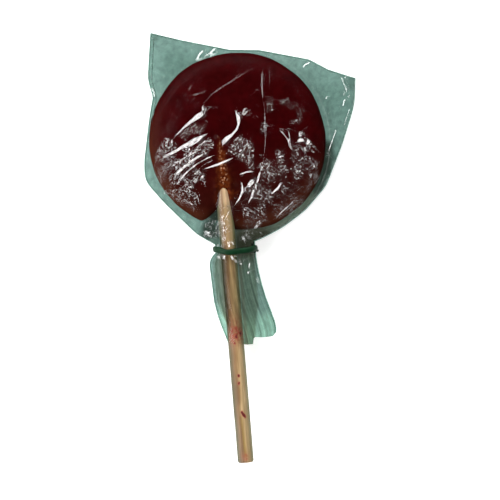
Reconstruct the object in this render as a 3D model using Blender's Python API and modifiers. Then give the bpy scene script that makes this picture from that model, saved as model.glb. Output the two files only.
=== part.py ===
"""A round flat hard-candy lollipop in a film bag that an elastic band ties round its stick.

It lies on its flat underside with the domed side up. The origin is the middle of the
face that the candy rests on, +Z is up, and the stick runs along -Y. Units are metres.
"""

import math

import bmesh
import bpy
import numpy as np

MM = 0.001

# Driving sizes. The dowel is a 5 mm one, and the rest is scaled from it.
STICK_DIAMETER = 5.0 * MM
STICK_LENGTH = 100.75 * MM
STICK_X = -5.4 * MM
STICK_INNER_END_Y = 0.75 * MM
STICK_ROUNDING = 0.8 * MM

CANDY_RADIUS = 27.5 * MM
CANDY_DOME = 4.6 * MM
CANDY_BELLY = 2.9 * MM
CANDY_FLAT_RADIUS = 23.0 * MM
DOME_POWER = 2.2

GAP = 0.3 * MM
FILM_SKIN = 0.4 * MM
FILM_EASE = 0.1 * MM
SEAM_THICKNESS = 0.8 * MM

# The lobe at the lower right of the disc, and the dent at its rim to the left of the stick.
LOBE_ANGLE, LOBE_WIDTH, LOBE_HEIGHT = math.radians(-55), math.radians(60), 0.9 * MM
DENT_ANGLE, DENT_WIDTH, DENT_DEPTH = math.radians(-107.5), math.radians(12), 6.0 * MM
DENT_REACH = 3.0

# Heights that follow from the sizes above.
UNDERSIDE_Z = GAP + FILM_SKIN
RIM_Z = UNDERSIDE_Z + CANDY_BELLY
STICK_Z = 5.2 * MM
STICK_RADIUS = STICK_DIAMETER / 2
SLEEVE_RADIUS = STICK_RADIUS + GAP + FILM_SKIN + FILM_EASE
PASSAGE_END_Y = -80 * MM

# The bag's seams round the disc, seen from above: its two corners and the edges between them.
BAG_CORNER_LEFT = (-24.0 * MM, 35.4 * MM)
BAG_CORNER_RIGHT = (38.2 * MM, 16.2 * MM)
BAG_TOP_EDGE = ((-14.6 * MM, 32.3 * MM), (0.0, 28.2 * MM), (9.2 * MM, 27.3 * MM), (24.3 * MM, 23.2 * MM),
                (30.1 * MM, 19.5 * MM))
BAG_RIGHT_EDGE = ((36.2 * MM, 5.5 * MM), (32.3 * MM, -4.2 * MM), (26.3 * MM, -16.3 * MM),
                  (19.4 * MM, -23.2 * MM), (12.2 * MM, -27.8 * MM), (5.4 * MM, -30.8 * MM))
BAG_LEFT_EDGE = ((-11.2 * MM, -30.4 * MM), (-14.8 * MM, -27.9 * MM), (-24.0 * MM, -17.4 * MM),
                 (-29.7 * MM, -8.6 * MM), (-28.9 * MM, 0.8 * MM), (-25.9 * MM, 15.6 * MM),
                 (-26.5 * MM, 22.0 * MM))

# The tied neck and the skirt below it, station by station along the stick: the place on Y,
# the left fold's X and radius, the right fold's X and radius, the folds' Z and the slant.
NECK_STATIONS = (
    (-9.0 * MM, -8.0 * MM, 2.0 * MM, -2.8 * MM, 2.0 * MM, STICK_Z, 0.0),
    (-20.0 * MM, -13.0 * MM, 1.5 * MM, 2.6 * MM, 1.5 * MM, 4.2 * MM, 0.0),
    (-27.0 * MM, -15.0 * MM, 0.6 * MM, 12.2 * MM, 0.6 * MM, 3.7 * MM, 0.0),
    (-30.3 * MM, -11.4 * MM, 1.5 * MM, 5.8 * MM, 1.5 * MM, 4.4 * MM, 0.0),
    (-31.6 * MM, -9.3 * MM, 2.6 * MM, 2.7 * MM, 2.6 * MM, STICK_Z, 0.0),
    (-35.8 * MM, -9.3 * MM, 2.6 * MM, 2.7 * MM, 2.6 * MM, STICK_Z, 0.0),
    (-37.2 * MM, -11.3 * MM, 2.0 * MM, 3.3 * MM, 2.2 * MM, STICK_Z, 0.02),
    (-41.0 * MM, -11.7 * MM, 1.8 * MM, 4.1 * MM, 2.0 * MM, STICK_Z, 0.05),
    (-47.0 * MM, -11.5 * MM, 1.5 * MM, 4.9 * MM, 1.8 * MM, STICK_Z, 0.10),
    (-53.0 * MM, -10.6 * MM, 1.4 * MM, 6.1 * MM, 1.5 * MM, STICK_Z, 0.14),
    (-58.0 * MM, -9.4 * MM, 1.4 * MM, 7.3 * MM, 1.2 * MM, STICK_Z, 0.18),
    (-62.9 * MM, -8.7 * MM, 1.6 * MM, 7.2 * MM, 0.9 * MM, STICK_Z, 0.20),
)

BAND_STATION = 4
BAND_WIDTH = 1.8 * MM
BAND_THICKNESS = 1.0 * MM
BAND_Y = -33.6 * MM
BAND_SLANT = -0.10
BAND_LEAN = -0.17

CANDY_SIDES = 72
PROFILE_STEPS = 8
SECTION_POINTS = 32
TANGENT_TRIES = 60
NEAREST_TANGENT = 0.3
BAG_EDGE_STEP = 2.6 * MM
STICK_SIDES = 32


def material(name, colour, roughness, **more):
    """A Principled material with its colour, its roughness and any further named inputs."""
    made = bpy.data.materials.new(name)
    made.use_nodes = True
    shader = made.node_tree.nodes["Principled BSDF"]
    shader.inputs["Base Color"].default_value = (*colour, 1.0)
    shader.inputs["Roughness"].default_value = roughness
    for socket, value in more.items():
        shader.inputs[socket.replace("_", " ")].default_value = value
    made.diffuse_color = (*colour, 1.0)
    return made


def placed(name, mesh, collection, finish=None):
    """An object of this mesh in this collection, with its finish."""
    made = bpy.data.objects.new(name, mesh)
    collection.objects.link(made)
    if finish:
        mesh.materials.clear()
        mesh.materials.append(finish)
    return made


def as_cutter(cutter):
    """Mark a guide body that only cuts or joins."""
    cutter.hide_render = True
    cutter.display_type = "WIRE"
    return cutter


def boolean(body, other, operation):
    """Cut the other body from this one, or join it on."""
    step = body.modifiers.new(f"{operation.lower()} {other.name}", "BOOLEAN")
    step.operation = operation
    step.solver = "EXACT"
    step.object = other


def window(angle, centre, width):
    """1 at the centre angle, falling as a squared cosine to 0 at the width to either side."""
    away = (angle - centre + math.pi) % (2 * math.pi) - math.pi
    return np.where(np.abs(away) < width, np.cos(math.pi / 2 * away / width) ** 2, 0.0)


def dome_height(part_way, rise):
    """A superellipse: how high the top stands above the rim, part of the way out to it."""
    return rise * (1 - np.clip(part_way, 0, 1) ** DOME_POWER) ** (1 / DOME_POWER)


def belly_depth(radius, flat, rim, drop):
    """Flat to the radius given, then a quarter ellipse that rises to the rim."""
    part_way = np.clip((radius - flat) / (rim - flat), 0, 1)
    return drop * np.sqrt(1 - part_way**2)


def turned(name, profile, sides, collection):
    """A solid of revolution round Z from a profile that runs from its top pole to its bottom pole."""
    mesh = bpy.data.meshes.new(name)
    points = [(radius, 0, height) for radius, height in profile]
    mesh.from_pydata(points, [(i, i + 1) for i in range(len(points) - 1)], [])
    made = placed(name, mesh, collection)
    screw = made.modifiers.new("turn", "SCREW")
    screw.steps = screw.render_steps = sides
    screw.use_merge_vertices = True
    screw.merge_threshold = 0.00001
    screw.use_smooth_shade = True
    return made


def fixed_mesh(made):
    """Turn an object with modifiers into one with the plain mesh that they give."""
    evaluated = made.evaluated_get(bpy.context.evaluated_depsgraph_get())
    mesh = bpy.data.meshes.new_from_object(evaluated)
    made.modifiers.clear()
    made.data = mesh
    return made


def candy_body(name, collection, grown=0.0):
    """The disc: a turned puck, domed above and flat below, with the lobe and the dent in its rim."""
    rim = CANDY_RADIUS + grown
    turns = np.linspace(0, math.pi / 2, PROFILE_STEPS + 1)
    out = rim * np.sin(turns)
    top = RIM_Z + dome_height(out / rim, CANDY_DOME + grown)
    flat = CANDY_FLAT_RADIUS
    inwards = np.concatenate([flat + (rim - flat) * np.sin(turns[-2:0:-1]), [flat, 0.0]])
    below = RIM_Z - belly_depth(inwards, flat, rim, CANDY_BELLY + grown)
    profile = list(zip(out, top)) + list(zip(inwards, below))
    made = turned(name, profile, CANDY_SIDES, collection)
    bpy.context.view_layer.update()
    fixed_mesh(made)
    points = np.empty(len(made.data.vertices) * 3)
    made.data.vertices.foreach_get("co", points)
    points = points.reshape(-1, 3)
    angle = np.arctan2(points[:, 1], points[:, 0])
    out_part = np.hypot(points[:, 0], points[:, 1]) / rim
    swell = (LOBE_HEIGHT * window(angle, LOBE_ANGLE, LOBE_WIDTH)
             - DENT_DEPTH * window(angle, DENT_ANGLE, DENT_WIDTH))
    points[:, :2] *= (1 + swell / rim * out_part**DENT_REACH)[:, None]
    made.data.vertices.foreach_set("co", points.ravel())
    made.data.update()
    return made


def lofted(name, rings, first, last, collection):
    """A closed skin over rings of equally many points, each end drawn together to one point."""
    count, around = rings.shape[:2]
    points = np.concatenate([rings.reshape(-1, 3), [first, last]])
    start, end = len(points) - 2, len(points) - 1
    faces = []
    for i in range(around):
        j = (i + 1) % around
        faces.append((start, j, i))
        faces.append((end, (count - 1) * around + i, (count - 1) * around + j))
        for k in range(count - 1):
            faces.append((k * around + i, k * around + j, (k + 1) * around + j, (k + 1) * around + i))
    mesh = bpy.data.meshes.new(name)
    mesh.from_pydata(points.tolist(), [], faces)
    shaped = bmesh.new()
    shaped.from_mesh(mesh)
    bmesh.ops.recalc_face_normals(shaped, faces=shaped.faces)
    shaped.to_mesh(mesh)
    shaped.free()
    return placed(name, mesh, collection)


def bag_outline():
    """Points along the bag's seam, at about equal steps, that keep every named corner."""
    corners = [BAG_CORNER_LEFT, *BAG_TOP_EDGE, BAG_CORNER_RIGHT, *BAG_RIGHT_EDGE, *BAG_LEFT_EDGE]
    points = []
    for start, end in zip(corners, corners[1:] + corners[:1]):
        steps = max(1, round(math.dist(start, end) / BAG_EDGE_STEP))
        points += [np.add(start, np.subtract(end, start) * i / steps) for i in range(steps)]
    outline = np.array(points)
    angle = np.arctan2(outline[:, 1], outline[:, 0])
    seam = np.hypot(outline[:, 0], outline[:, 1])
    order = np.argsort(angle)
    return angle[order], seam[order]


def taut(height_at, hug, seam):
    """A film's profile at one angle: it hugs the disc, then runs straight to the seam.

    The point where it leaves the disc is the one with the steepest line to the seam.
    """
    tries = hug * np.linspace(NEAREST_TANGENT, 1, TANGENT_TRIES)
    slopes = (height_at(tries) - SEAM_THICKNESS / 2) / (seam - tries)
    leave = tries[np.argmax(slopes)]
    out = leave * np.sin(np.linspace(0, math.pi / 2, PROFILE_STEPS + 1))[1:]
    return np.append(out, seam), np.append(height_at(out), SEAM_THICKNESS / 2)


def bag_head(collection):
    """The part of the bag over the disc: two taut films that meet at the seam."""
    angles, seams = bag_outline()
    skin = GAP + FILM_SKIN
    columns = []
    for angle, seam in zip(angles, seams):
        rim = CANDY_RADIUS + float(LOBE_HEIGHT * window(angle, LOBE_ANGLE, LOBE_WIDTH))
        hug = rim + skin + FILM_EASE
        seam = max(seam, hug + FILM_EASE)
        out_top, top = taut(lambda r, hug=hug: dome_height(r / hug, CANDY_DOME + skin), hug, seam)
        out_low, low = taut(lambda r, hug=hug: belly_depth(r, CANDY_FLAT_RADIUS, hug, RIM_Z), hug, seam)
        out = np.concatenate([out_low, out_top[::-1]])
        height = RIM_Z + np.concatenate([-low, top[::-1]])
        columns.append(np.column_stack([out * math.cos(angle), out * math.sin(angle), height]))
    rings = np.array(columns).transpose(1, 0, 2)
    return lofted("bag head", rings, (0, 0, 0), (0, 0, RIM_Z + CANDY_DOME + skin), collection)


def folded_section(station, grown=0.0):
    """A taut loop of film round the stick and a fold on each side, as points in X and Z.

    In each direction it is the circle that reaches farthest which the film touches.
    """
    _, left, left_fold, right, right_fold, fold_z, _ = station
    turns = np.linspace(0, 2 * math.pi, SECTION_POINTS, endpoint=False)
    facing = np.column_stack([np.cos(turns), np.sin(turns)])
    centres = np.array([(STICK_X, STICK_Z), (left + left_fold, fold_z), (right - right_fold, fold_z)])
    radii = np.array([SLEEVE_RADIUS, left_fold, right_fold]) + grown
    touched = np.argmax(facing @ centres.T + radii, axis=1)
    return centres[touched] + radii[touched, None] * facing


def bag_neck(collection):
    """The gathered neck and the skirt: folded sections carried along the stick."""
    rings = []
    for station in NECK_STATIONS:
        section = folded_section(station)
        along = station[0] + station[-1] * (section[:, 0] - STICK_X)
        rings.append(np.column_stack([section[:, 0], along, section[:, 1]]))
    rings = np.array(rings)
    return lofted("bag neck", rings, rings[0].mean(axis=0), rings[-1].mean(axis=0), collection)


def passage(name, collection):
    """A cutter for the stick's room: a cylinder on its axis, one gap larger all round."""
    start_y = STICK_INNER_END_Y + GAP
    bpy.ops.mesh.primitive_cylinder_add(
        vertices=STICK_SIDES, radius=STICK_RADIUS + GAP, depth=start_y - PASSAGE_END_Y)
    made = bpy.context.active_object
    for holder in list(made.users_collection):
        holder.objects.unlink(made)
    collection.objects.link(made)
    made.name = name
    made.rotation_euler = (math.pi / 2, 0, 0)
    made.location = (STICK_X, (start_y + PASSAGE_END_Y) / 2, STICK_Z)
    return as_cutter(made)


def make_stick(collection, finish):
    """The dowel, turned with a rounded end at each side and laid along Y."""
    half = STICK_LENGTH / 2
    turns = np.linspace(0, math.pi / 2, 4)
    out = STICK_RADIUS - STICK_ROUNDING + STICK_ROUNDING * np.sin(turns)
    up = half - STICK_ROUNDING + STICK_ROUNDING * np.cos(turns)
    profile = [(0, half), *zip(out, up), *zip(out[::-1], -up[::-1]), (0, -half)]
    made = turned("stick", profile, STICK_SIDES, collection)
    made.data.materials.append(finish)
    made.rotation_euler = (math.pi / 2, 0, 0)
    made.location = (STICK_X, STICK_INNER_END_Y - half, STICK_Z)


def make_candy(collection, cutters, finish):
    """The disc with the socket that the stick is cast into."""
    made = candy_body("candy", collection)
    made.data.materials.append(finish)
    boolean(made, passage("stick socket", cutters), "DIFFERENCE")


def make_wrapper(collection, cutters, finish):
    """The bag as one body out to its film, open only where the stick leaves it."""
    made = bag_head(collection)
    made.name = "wrapper"
    made.data.materials.append(finish)
    boolean(made, as_cutter(bag_neck(cutters)), "UNION")
    boolean(made, as_cutter(candy_body("candy room", cutters, GAP)), "DIFFERENCE")
    boolean(made, passage("stick passage", cutters), "DIFFERENCE")


def make_band(collection, finish):
    """The elastic tie: a flat cord along the neck's own section, one gap outside it.

    Its curve lies flat, its width along Z, and the object turns it up to stand round the stick.
    """
    half = BAND_THICKNESS / 2
    section = folded_section(NECK_STATIONS[BAND_STATION], GAP + half)
    middle = (section[:, 0].min() + section[:, 0].max()) / 2
    along = BAND_Y + BAND_SLANT * (section[:, 0] - middle) + BAND_LEAN * (section[:, 1] - STICK_Z)
    curve = bpy.data.curves.new("band", "CURVE")
    curve.dimensions = "3D"
    curve.twist_mode = "Z_UP"
    curve.bevel_depth = half
    curve.bevel_resolution = 2
    curve.extrude = BAND_WIDTH / 2 - half
    spline = curve.splines.new("POLY")
    spline.points.add(len(section) - 1)
    for point, (x, z), y in zip(spline.points, section, along):
        point.co = (x, z, -y, 1)
    spline.use_cyclic_u = True
    curve.materials.append(finish)
    made = bpy.data.objects.new("band", curve)
    made.rotation_euler = (math.pi / 2, 0, 0)
    collection.objects.link(made)


def main():
    for old in list(bpy.data.objects):
        bpy.data.objects.remove(old, do_unlink=True)
    parts = bpy.data.collections.new("candy lollipop")
    cutters = bpy.data.collections.new("cutters")
    for collection in (parts, cutters):
        bpy.context.scene.collection.children.link(collection)
    sugar = material("hard candy", (0.09, 0.004, 0.008), 0.18, Transmission_Weight=0.3, IOR=1.5)
    film = material("clear film", (0.50, 0.68, 0.60), 0.08, Alpha=0.35)
    wood = material("birch dowel", (0.50, 0.30, 0.15), 0.6)
    elastic = material("green elastic", (0.01, 0.07, 0.02), 0.45)
    make_candy(parts, cutters, sugar)
    make_stick(parts, wood)
    make_wrapper(parts, cutters, film)
    make_band(parts, elastic)


main()
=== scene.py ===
# %% [markdown]
# # A wrapped chamoy lollipop
# A flat round disc of dark boiled sugar sits on a birch dowel. A loose clear bag goes over it and
# a green elastic ties the bag round the stick. The solid model of the lollipop is loaded first,
# as a fixed frame, and every piece below is laid over it.

# %% Load the frame
import math

import bpy
import numpy as np
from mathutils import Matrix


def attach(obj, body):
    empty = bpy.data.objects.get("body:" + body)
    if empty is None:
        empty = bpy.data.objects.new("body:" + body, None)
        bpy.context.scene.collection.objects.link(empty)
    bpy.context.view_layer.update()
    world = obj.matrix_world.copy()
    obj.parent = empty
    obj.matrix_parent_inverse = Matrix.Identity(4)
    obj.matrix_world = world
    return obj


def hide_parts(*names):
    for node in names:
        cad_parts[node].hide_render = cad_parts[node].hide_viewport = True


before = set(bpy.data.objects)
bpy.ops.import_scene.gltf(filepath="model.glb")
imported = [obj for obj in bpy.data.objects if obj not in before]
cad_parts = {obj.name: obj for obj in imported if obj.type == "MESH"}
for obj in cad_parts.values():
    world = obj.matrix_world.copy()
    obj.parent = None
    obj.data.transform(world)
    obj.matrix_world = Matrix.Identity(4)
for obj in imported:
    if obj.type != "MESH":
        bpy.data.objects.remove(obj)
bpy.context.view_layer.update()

print("nodes in the frame:", sorted(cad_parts))

# %% [markdown]
# The shapes are worked out in millimetres, because that is how a sweet maker would measure them.
# The meshes get metres. Some places, such as each crease in the film, are read from a picture of
# 500 by 500 pixels taken from straight above, so one function turns a pixel into a place on the
# object: it shifts it to the middle of the disc, divides by the scale, and turns back the roll of
# the camera.

# %% From the picture to the object
MM = 0.001
PIXELS_PER_MM = 3.2
DISC_PIXEL = (237.0, 141.0)
PICTURE_PIXELS = 500
CAMERA_ROLL = math.radians(4.69)


def at(*pixels):
    """X and Y in mm of places in the picture: shifted, scaled and turned back by the roll."""
    across, down = (np.array(pixels, float) - DISC_PIXEL).T / PIXELS_PER_MM
    turn_x = across * math.cos(CAMERA_ROLL) - down * math.sin(CAMERA_ROLL)
    turn_y = -across * math.sin(CAMERA_ROLL) - down * math.cos(CAMERA_ROLL)
    return np.column_stack([turn_x, turn_y])


print("the middle of the picture lies at", at((250, 250)).round(2), "mm")

# %% [markdown]
# ## Camera, floor and light
# The lollipop lies on a pale table and the camera looks straight down on it. A long lens from
# almost a metre away keeps the outline as flat as in the picture. The table is a light table that
# glows a little itself, so shadows stay pale and the clear film shows its tint everywhere.
#
# Clear film is only seen by what it mirrors. With an even white dome it would turn milky, so the
# dome here is dark overhead, where the flat film looks, and has a bright ring about 55 degrees
# down from the top, brightest towards the upper left and almost dark on the far side. Each fold
# that leans about 27 degrees that way then flashes white.

# %% Camera, floor and light
CAMERA_HEIGHT = 0.9
RING_TOP, RING_BOTTOM = 0.76, 0.38
RING_EDGE = 0.02
RING_BRIGHT, RING_FAINT = 5.8, 0.3
OVERHEAD, BETWEEN, HORIZON = 0.004, 0.06, 0.5
HORIZON_HEIGHTS = (0.15, 0.30)
KEY_DIRECTION = (-0.80, 0.60, 0.0)
FAR_SIDE, KEY_SIDE = -0.68, 0.8
FLOOR_WHITE = (0.93, 0.93, 0.93)
FLOOR_GLOW = 0.75
FLOOR_REACH = 3.0
LAYERS_SEEN_THROUGH = 24

picture_middle = at((PICTURE_PIXELS / 2, PICTURE_PIXELS / 2))[0] * MM
camera_data = bpy.data.cameras.new("camera")
camera_data.lens = camera_data.sensor_width * CAMERA_HEIGHT / (PICTURE_PIXELS / PIXELS_PER_MM * MM)
camera = bpy.data.objects.new("camera", camera_data)
camera.location = (*picture_middle, CAMERA_HEIGHT)
camera.rotation_euler = (0, 0, -CAMERA_ROLL)
bpy.context.scene.collection.objects.link(camera)
bpy.context.scene.camera = camera
print("camera looks down from", CAMERA_HEIGHT, "m with a lens of", round(camera_data.lens), "mm")

# %% [markdown]
# A finish in Blender is a tree of nodes. The same few come back in each one here: noise over the
# place on the object, a ramp, a blend of two colours, fine relief. Each gets a short hand that adds
# the node and gives its result, so that a finish reads as a recipe.

# %% Short hands for nodes
class Nodes:
    """Short hands for one tree of nodes. An input that gets a node or a socket is joined to it."""

    def __init__(self, tree):
        self.tree = tree
        tree.nodes.clear()

    def add(self, kind, settings=(), **values):
        """A node with its settings and inputs. An input goes by its name, or by its number as in _0."""
        node = self.tree.nodes.new("ShaderNode" + kind)
        for key, value in dict(settings).items():
            setattr(node, key, value)
        for name, value in values.items():
            socket = node.inputs[int(name[1:]) if name[1:].isdigit() else name.replace("_", " ")]
            if isinstance(value, bpy.types.Node):
                value = value.outputs[0]
            if isinstance(value, bpy.types.NodeSocket):
                self.tree.links.new(value, socket)
            else:
                socket.default_value = (*value, 1.0) if socket.type == "RGBA" else value
        return node

    def two(self, operation, first, second, **settings):
        """The result of a Math node on two values."""
        return self.add("Math", {"operation": operation, **settings}, _0=first, _1=second).outputs[0]

    def ramp(self, value, start, end, low=0.0, high=1.0, shape="LINEAR"):
        """Low to high as the value goes from start to end."""
        return self.add("MapRange", {"interpolation_type": shape},
                        _0=value, _1=start, _2=end, _3=low, _4=high).outputs[0]

    def place(self):
        """The place on the object, in metres."""
        return self.add("TexCoord").outputs["Object"]

    def noise(self, scale, detail, roughness=0.5, at_place=None):
        """Soft noise from 0 to 1 over the place on the object."""
        spot = self.place() if at_place is None else at_place
        node = self.add("TexNoise", Vector=spot, Scale=scale, Detail=detail, Roughness=roughness)
        return node.outputs["Fac"]

    def own(self, name, result="Fac"):
        """The numbers that the piece carries under a name, point by point."""
        return self.add("Attribute", {"attribute_name": name}).outputs[result]

    def blend(self, share, first, second):
        """The first colour where the share is 0, and the second where it is 1."""
        return self.add("Mix", {"data_type": "RGBA"}, _0=share, _6=first, _7=second).outputs[2]

    def bump(self, height, strength, distance):
        """Fine relief that only the light sees."""
        return self.add("Bump", Height=height, Strength=strength, Distance=distance)

    def finish(self, shader):
        """The end of the tree."""
        self.add("OutputMaterial", _0=shader)


def new_material(name):
    """An empty node material and the short hands for its tree."""
    made = bpy.data.materials.new(name)
    made.use_nodes = True
    return made, Nodes(made.node_tree)


# %% [markdown]
# The table is a plain square, matt white with a glow of its own. The dome's light only depends on
# how high one looks, and in the ring also on how far that is towards the key side.

# %% The table and the dome
floor_mesh = bpy.data.meshes.new("floor")
floor_corners = [(a * FLOOR_REACH, b * FLOOR_REACH, 0) for a, b in ((-1, -1), (1, -1), (1, 1), (-1, 1))]
floor_mesh.from_pydata(floor_corners, [], [(0, 1, 2, 3)])
floor = bpy.data.objects.new("floor", floor_mesh)
bpy.context.scene.collection.objects.link(floor)
table_white, tree = new_material("table white")
from_below = tree.add("Emission", Color=(1, 1, 1), Strength=FLOOR_GLOW)
tree.finish(tree.add("AddShader", _0=tree.add("BsdfDiffuse", Color=FLOOR_WHITE), _1=from_below))
floor_mesh.materials.append(table_white)

world = bpy.data.worlds.new("light tent")
world.use_nodes = True
bpy.context.scene.world = world
tree = Nodes(world.node_tree)
sight = tree.add("TexCoord").outputs["Generated"]
height = tree.add("SeparateXYZ", _0=sight).outputs["Z"]


def on_height(start, end, low, high):
    """A smooth step from low to high as the height of the line of sight goes from start to end."""
    return tree.ramp(height, start, end, low, high, "SMOOTHSTEP")


towards_key = tree.add("VectorMath", {"operation": "DOT_PRODUCT"}, _0=sight, _1=KEY_DIRECTION)
ring_middle_out = math.sqrt(1 - ((RING_TOP + RING_BOTTOM) / 2) ** 2)
ring_light = tree.ramp(towards_key.outputs["Value"], FAR_SIDE * ring_middle_out, KEY_SIDE * ring_middle_out,
                       RING_FAINT, RING_BRIGHT, "SMOOTHSTEP")
ring_shape = tree.two("MULTIPLY", on_height(RING_BOTTOM - RING_EDGE, RING_BOTTOM + RING_EDGE, 0, 1),
                      on_height(RING_TOP - RING_EDGE, RING_TOP + RING_EDGE, 1, 0))
rest_of_dome = tree.two("ADD", on_height(*HORIZON_HEIGHTS, HORIZON, BETWEEN),
                        on_height(RING_TOP, RING_TOP + 2 * RING_EDGE, 0, OVERHEAD - BETWEEN))
strength = tree.two("ADD", tree.two("MULTIPLY", ring_light, ring_shape), rest_of_dome)
tree.add("OutputWorld", _0=tree.add("Background", Strength=strength))
scene = bpy.context.scene
scene.view_settings.view_transform = "Standard"
scene.cycles.transparent_max_bounces = LAYERS_SEEN_THROUGH
print("the ring is brightest", round(math.degrees(math.asin(ring_middle_out))), "degrees down from the top")

# %% [markdown]
# ## Helpers
# Every piece is a grid of points that is bent into shape. One function lists the corners of the
# grid's cells, one closes the ends of a round one, and one makes the object, with any numbers per
# point that its material reads.
#
# Nature's small unevenness comes from a soft noise: random heights on a square lattice, blended
# smoothly from one lattice point to the next, always from the same seed.

# %% Grids, pieces and noise
LATTICE = 127


def grid_faces(rows, columns, around=False):
    """Corners of each cell of a grid of points counted row by row; around also joins the ends."""
    cells_across = columns if around else columns - 1
    row, column = np.meshgrid(np.arange(rows - 1), np.arange(cells_across), indexing="ij")
    beside = (column + 1) % columns
    return np.stack([row * columns + column, row * columns + beside,
                     (row + 1) * columns + beside, (row + 1) * columns + column], -1).reshape(-1, 4)


def closed_rings(rings, sides, first_tip, last_tip):
    """Points and faces of rings in a row, each of so many points, with a tip that closes each end."""
    corner, last_ring = np.arange(sides), len(rings) - sides
    beside = (corner + 1) % sides
    first_cap = np.stack([beside, corner, np.full(sides, len(rings))], -1)
    last_cap = np.stack([np.full(sides, len(rings) + 1), last_ring + corner, last_ring + beside], -1)
    faces = [grid_faces(len(rings) // sides, sides, around=True), first_cap, last_cap]
    return np.concatenate([rings, [first_tip, last_tip]]), faces


def make_piece(name, points, faces, finish, slot, stands_for=None, **numbers):
    """A smooth mesh object from points in mm, riding on the lollipop, with its finish and numbers."""
    mesh = bpy.data.meshes.new(name)
    mesh.from_pydata((points * MM).tolist(), [], [f.tolist() for group in faces for f in group])
    mesh.shade_smooth()
    for key, values in numbers.items():
        kind, place = ("FLOAT_COLOR", "color") if values.ndim == 2 else ("FLOAT", "value")
        if values.ndim == 2:
            values = np.column_stack([values, np.ones(len(values))])
        layer = mesh.attributes.new(key, kind, "POINT")
        layer.data.foreach_set(place, values.astype(np.float32).ravel())
    mesh.materials.append(finish)
    made = bpy.data.objects.new(name, mesh)
    bpy.context.scene.collection.objects.link(made)
    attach(made, "root")
    if stands_for:
        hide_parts(stands_for)
    mesh.calc_loop_triangles()
    size = (points.max(axis=0) - points.min(axis=0)).round(1)
    print(name, "is", size, "mm, with", len(mesh.loop_triangles), "triangles")


def lattice_cell(x, y, cell, seed):
    """Random heights at the corners of the cell that each place lies in, and how far across it lies."""
    lattice = np.random.default_rng(seed).uniform(-1, 1, (LATTICE, LATTICE))
    i, j = np.floor(x / cell), np.floor(y / cell)
    a, b = x / cell - i, y / cell - j
    i, j = i.astype(int) % LATTICE, j.astype(int) % LATTICE
    k, m = (i + 1) % LATTICE, (j + 1) % LATTICE
    return lattice[i, j], lattice[k, j], lattice[i, m], lattice[k, m], a, b


def soft_noise(x, y, cell, seed):
    """-1 to 1: random values on a lattice of square cells, blended by a smooth step between."""
    here, right, above, beyond, a, b = lattice_cell(x, y, cell, seed)
    a, b = a * a * (3 - 2 * a), b * b * (3 - 2 * b)
    return here * (1 - a) * (1 - b) + right * a * (1 - b) + above * (1 - a) * b + beyond * a * b


def smooth(low, high, x):
    """0 below low, 1 above high, and a smooth step between them."""
    part = np.clip((x - low) / (high - low), 0, 1)
    return part * part * (3 - 2 * part)


# %% [markdown]
# ## The candy
# Boiled sugar is poured into a round mould over the end of the stick, so it is flat below, domed
# on top and a little uneven at the rim. Beside the stick the sugar didn't quite meet it, which
# leaves a notch. The disc could be carved from a solid, but one turned profile whose radius
# changes with the angle gives the same form with even faces.

# %% The candy's form
STICK_X, STICK_Z, STICK_RADIUS = -5.4, 5.2, 2.5
CANDY_RADIUS, CANDY_DOME, CANDY_BELLY, CANDY_FLAT = 27.5, 4.6, 2.9, 23.0
DOME_POWER = 2.2
RIM_Z = 3.6
LOBE = (math.radians(-55), math.radians(60), 0.9)
NOTCH = (math.radians(-107.5), math.radians(12), -6.0)
CANDY_SIDES, CANDY_RINGS = 288, 110


def window(angle, centre, width):
    """1 at the centre angle, falling as a squared cosine to 0 at the width to either side."""
    away = (angle - centre + math.pi) % (2 * math.pi) - math.pi
    return np.where(np.abs(away) < width, np.cos(math.pi / 2 * away / width) ** 2, 0.0)


def dome(part_out, rise):
    """A superellipse: the height above the rim, part of the way out to it."""
    return rise * (1 - np.clip(part_out, 0, 1) ** DOME_POWER) ** (1 / DOME_POWER)


def belly(radius, rim, drop):
    """Depth below the rim: flat to the mould's floor, then a quarter ellipse up to the rim."""
    return drop * np.sqrt(1 - np.clip((radius - CANDY_FLAT) / (rim - CANDY_FLAT), 0, 1) ** 2)


angle = np.linspace(-math.pi, math.pi, CANDY_SIDES, endpoint=False)[None, :]
turn = np.linspace(0.012, math.pi / 2, CANDY_RINGS)[:, None]
out_top = CANDY_RADIUS * np.sin(turn)
out_low = CANDY_FLAT + (CANDY_RADIUS - CANDY_FLAT) * np.cos(turn)
out_base = CANDY_FLAT * np.linspace(1, 0.02, 24)[:, None]
out = np.concatenate([out_top, out_low[1:], out_base[1:]])
rise = np.concatenate([RIM_Z + dome(out_top / CANDY_RADIUS, CANDY_DOME),
                       RIM_Z - belly(out_low[1:], CANDY_RADIUS, CANDY_BELLY),
                       np.full((len(out_base) - 1, 1), RIM_Z - CANDY_BELLY)])
part_out = out / CANDY_RADIUS
ripple = 0.22 * soft_noise(np.cos(angle) * 6, np.sin(angle) * 6, 1.7, 11) + 0.10 * soft_noise(
    np.cos(angle) * 14, np.sin(angle) * 14, 1.5, 12)
swell = LOBE[2] * window(angle, *LOBE[:2]) + NOTCH[2] * window(angle, *NOTCH[:2]) + ripple
radius = out * (1 + swell / CANDY_RADIUS * part_out**3)
candy_x, candy_y = radius * np.cos(angle), radius * np.sin(angle)
candy_z = rise + 0 * candy_x
on_top = smooth(-0.5, 1.5, candy_z - RIM_Z)
candy_z = candy_z + on_top * (0.10 * soft_noise(candy_x, candy_y, 5.0, 13)
                              + 0.04 * soft_noise(candy_x, candy_y, 1.8, 14))
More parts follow.
